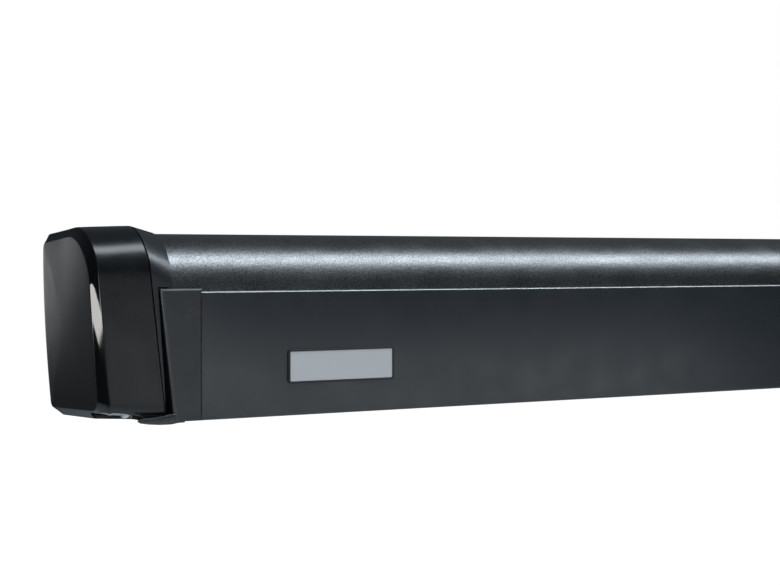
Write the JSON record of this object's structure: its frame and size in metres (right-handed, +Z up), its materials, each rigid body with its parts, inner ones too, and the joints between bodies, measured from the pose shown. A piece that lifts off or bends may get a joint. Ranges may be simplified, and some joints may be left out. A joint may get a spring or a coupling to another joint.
{
  "type": "roll out awning",
  "caption": "Closed wall cassette awning with a rounded hood, tall lead rail, moulded end caps, crank worm drive, folding spring arms and telescopic legs.",
  "frame": {"origin": "centre of the wall bolt pattern, on the wall face at mid length", "axes": "+X along the wall, +Y into the wall, +Z up; the awning stands on the -Y side"},
  "size_m": [1.9192, 0.104, 0.1344],
  "materials": {
    "casing_coat": "satin",
    "rail_coat": "satin",
    "cap_plastic": "gloss",
    "collar_plastic": "satin",
    "cast_alloy": "satin",
    "bare_alloy": "satin",
    "arm_coat": "satin",
    "leg_alloy": "satin",
    "steel": "satin",
    "bronze": "satin",
    "black_plastic": "matte",
    "seal_rubber": "matte",
    "cloth": "matte"
  },
  "bodies": {
    "cassette": {"casing": "casing_coat", "hood_seal": "seal_rubber", "wall_brackets": "cast_alloy", "bracket_screws": "steel", "end_plate_screws": "steel", "left_end_plate": "cast_alloy", "right_end_plate": "cast_alloy", "left_collar": "collar_plastic", "right_collar": "collar_plastic", "left_end_cap": "cap_plastic", "right_end_cap": "cap_plastic", "left_shoulder_bracket": "cast_alloy", "right_shoulder_bracket": "cast_alloy", "shoulder_pins": "steel", "gear_housing": "cast_alloy"},
    "worm": {"worm_shaft": "steel", "crank_eye": "steel"},
    "roller": {"roller_tube": "bare_alloy", "drive_plug": "black_plastic", "idler_plug": "black_plastic", "worm_wheel": "bronze", "cloth_roll": "cloth"},
    "cloth": {"cloth_run": "cloth"},
    "left_upper_arm": {"left_upper_tube": "arm_coat", "left_shoulder_knuckle": "cast_alloy", "left_elbow_fork": "cast_alloy", "left_elbow_pin": "steel", "left_strut": "steel"},
    "left_rod": {"left_strut_rod": "steel"},
    "left_forearm": {"left_fore_tube": "arm_coat", "left_elbow_knuckle": "cast_alloy", "left_front_knuckle": "cast_alloy"},
    "right_upper_arm": {"right_upper_tube": "arm_coat", "right_shoulder_knuckle": "cast_alloy", "right_elbow_fork": "cast_alloy", "right_elbow_pin": "steel", "right_strut": "steel"},
    "right_rod": {"right_strut_rod": "steel"},
    "right_forearm": {"right_fore_tube": "arm_coat", "right_elbow_knuckle": "cast_alloy", "right_front_knuckle": "cast_alloy"},
    "lead_rail": {"lead_rail": "rail_coat", "rail_beam": "bare_alloy", "left_rail_cap": "collar_plastic", "right_rail_cap": "collar_plastic", "left_front_bracket": "cast_alloy", "right_front_bracket": "cast_alloy", "front_pins": "steel", "leg_hinges": "cast_alloy"},
    "left_leg": {"left_leg_tube": "leg_alloy", "left_leg_clamp": "black_plastic"},
    "left_leg_lever": {"left_leg_lever": "black_plastic"},
    "left_inner_leg": {"left_inner_leg": "leg_alloy"},
    "left_foot": {"left_foot": "seal_rubber"},
    "right_leg": {"right_leg_tube": "leg_alloy", "right_leg_clamp": "black_plastic"},
    "right_leg_lever": {"right_leg_lever": "black_plastic"},
    "right_inner_leg": {"right_inner_leg": "leg_alloy"},
    "right_foot": {"right_foot": "seal_rubber"}
  },
  "joints": [
    {"name": "awning_fold", "type": "hinge", "parent": "cassette", "child": "left_upper_arm", "pos_m": [-0.838, -0.0299, -0.03], "axis": [0, 0.1736, -0.9848], "range_deg": [0, 60]},
    {"name": "left_elbow_bend", "type": "hinge", "parent": "left_upper_arm", "child": "left_forearm", "pos_m": [-0.022, -0.04073, -0.03191], "axis": [0, 0.1736, -0.9848], "range_deg": [-120, 0]},
    {"name": "left_front_turn", "type": "hinge", "parent": "left_forearm", "child": "lead_rail", "pos_m": [-0.838, -0.05156, -0.03382], "axis": [0, 0.1736, -0.9848], "range_deg": [0, 60]},
    {"name": "right_shoulder_turn", "type": "hinge", "parent": "cassette", "child": "right_upper_arm", "pos_m": [0.838, -0.0299, -0.03], "axis": [0, -0.1736, 0.9848], "range_deg": [0, 60]},
    {"name": "right_elbow_bend", "type": "hinge", "parent": "right_upper_arm", "child": "right_forearm", "pos_m": [0.022, -0.04073, -0.03191], "axis": [0, -0.1736, 0.9848], "range_deg": [-120, 0]},
    {"name": "cloth_draw", "type": "slide", "parent": "cassette", "child": "cloth", "axis": [0, -0.9848, -0.1736], "range_m": [0, 1.40235], "deforming": ["cloth_run"]},
    {"name": "roller_turn", "type": "hinge", "parent": "cassette", "child": "roller", "pos_m": [0, -0.053, 0.027], "axis": [-1, 0, 0], "range_deg": [0, 2920]},
    {"name": "crank_turn", "type": "hinge", "parent": "cassette", "child": "worm", "pos_m": [-0.93, -0.07587, 0.0294], "axis": [0, -0.1045, -0.9945], "range_deg": [0, 23360]},
    {"name": "left_strut_stroke", "type": "slide", "parent": "left_upper_arm", "child": "left_rod", "axis": [-1, 0, 0], "range_m": [0, 0.02]},
    {"name": "right_strut_stroke", "type": "slide", "parent": "right_upper_arm", "child": "right_rod", "axis": [1, 0, 0], "range_m": [0, 0.02]},
    {"name": "left_leg_swing", "type": "hinge", "parent": "lead_rail", "child": "left_leg", "pos_m": [-0.878, -0.0755, -0.039], "axis": [0, 1, 0], "range_deg": [0, 90]},
    {"name": "left_leg_extend", "type": "slide", "parent": "left_leg", "child": "left_inner_leg", "axis": [1, 0, 0], "range_m": [0, 0.68]},
    {"name": "left_clamp_flip", "type": "hinge", "parent": "left_leg", "child": "left_leg_lever", "pos_m": [0.127, -0.0755, -0.0585], "axis": [0, -1, 0], "range_deg": [0, 100]},
    {"name": "left_foot_tilt", "type": "hinge", "parent": "left_inner_leg", "child": "left_foot", "pos_m": [0.158, -0.0755, -0.039], "axis": [0, 1, 0], "range_deg": [-25, 25]},
    {"name": "right_leg_swing", "type": "hinge", "parent": "lead_rail", "child": "right_leg", "pos_m": [0.878, -0.09, -0.039], "axis": [0, -1, 0], "range_deg": [0, 90]},
    {"name": "right_leg_extend", "type": "slide", "parent": "right_leg", "child": "right_inner_leg", "axis": [-1, 0, 0], "range_m": [0, 0.68]},
    {"name": "right_clamp_flip", "type": "hinge", "parent": "right_leg", "child": "right_leg_lever", "pos_m": [-0.127, -0.09, -0.0585], "axis": [0, 1, 0], "range_deg": [0, 100]},
    {"name": "right_foot_tilt", "type": "hinge", "parent": "right_inner_leg", "child": "right_foot", "pos_m": [-0.158, -0.09, -0.039], "axis": [0, -1, 0], "range_deg": [-25, 25]}
  ],
  "couplings": [
    {"joint": "left_elbow_bend", "follows": "awning_fold", "ratio": -2},
    {"joint": "left_front_turn", "follows": "awning_fold", "ratio": 1},
    {"joint": "right_shoulder_turn", "follows": "awning_fold", "ratio": 1},
    {"joint": "right_elbow_bend", "follows": "awning_fold", "ratio": -2},
    {"joint": "cloth_draw", "follows": "awning_fold", "m_per_rad": 1.3391},
    {"joint": "roller_turn", "follows": "awning_fold", "ratio": 48.667},
    {"joint": "crank_turn", "follows": "awning_fold", "ratio": 389.33},
    {"joint": "left_strut_stroke", "follows": "awning_fold", "m_per_rad": 0.019098},
    {"joint": "right_strut_stroke", "follows": "awning_fold", "m_per_rad": 0.019098}
  ]
}
